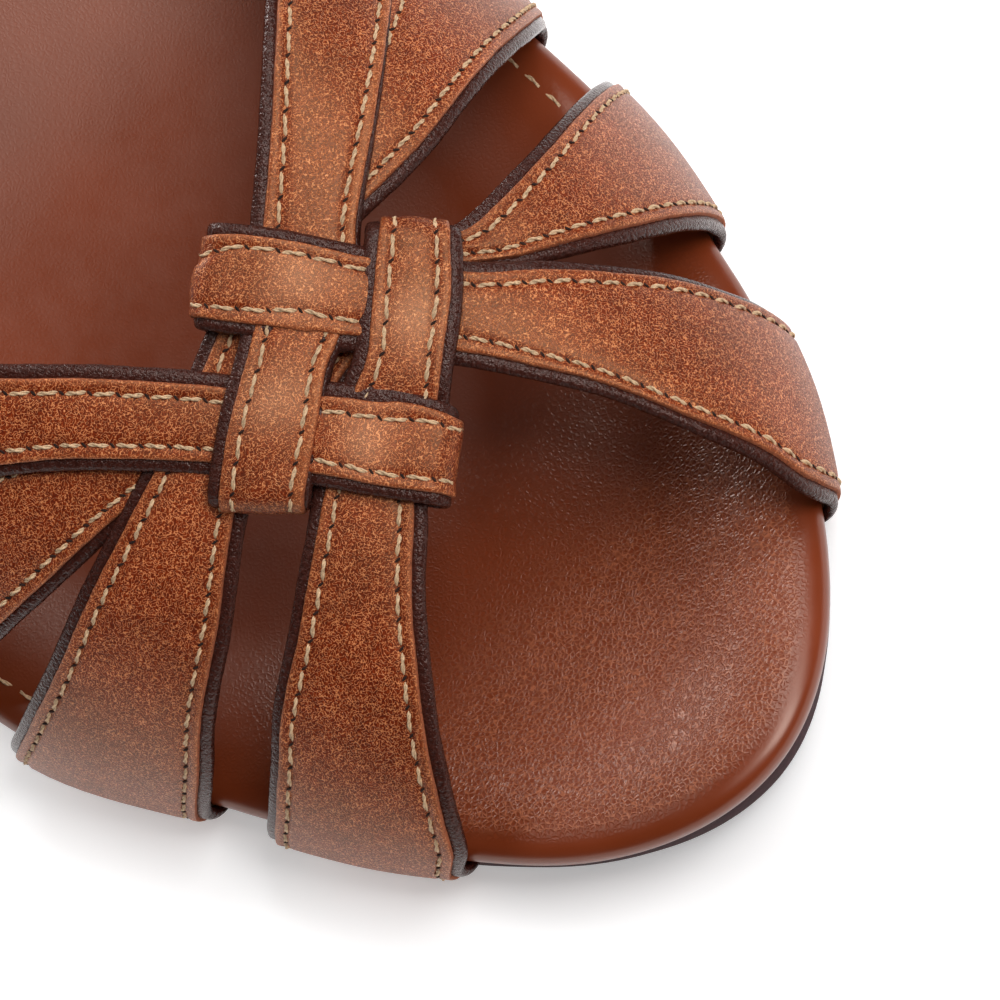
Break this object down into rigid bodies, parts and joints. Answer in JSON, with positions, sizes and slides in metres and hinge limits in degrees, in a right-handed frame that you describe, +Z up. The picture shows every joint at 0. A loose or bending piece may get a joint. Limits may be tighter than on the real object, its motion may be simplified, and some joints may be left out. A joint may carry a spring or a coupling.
{
  "type": "peep-toe heeled slide",
  "caption": "Right peep-toe slide on a block heel: paired leather straps meet in a woven knot over a padded footbed and thin outsole.",
  "frame": {"origin": "middle of the overall box, on the ground", "axes": "toe towards -Y, +Z up, +X towards the medial side of this right shoe"},
  "size_m": [0.0944, 0.242, 0.0713],
  "materials": {
    "strap_leather": "burnished tan-brown leather with dark painted edges",
    "footbed_leather": "satin red-brown smooth leather",
    "outsole": "matt dark brown",
    "heel_cover": "satin brown leather over the block"
  },
  "bodies": {
    "root": {"upper": "strap_leather", "footbed": "footbed_leather", "outsole": "outsole", "heel": "heel_cover"}
  },
  "joints": []
}
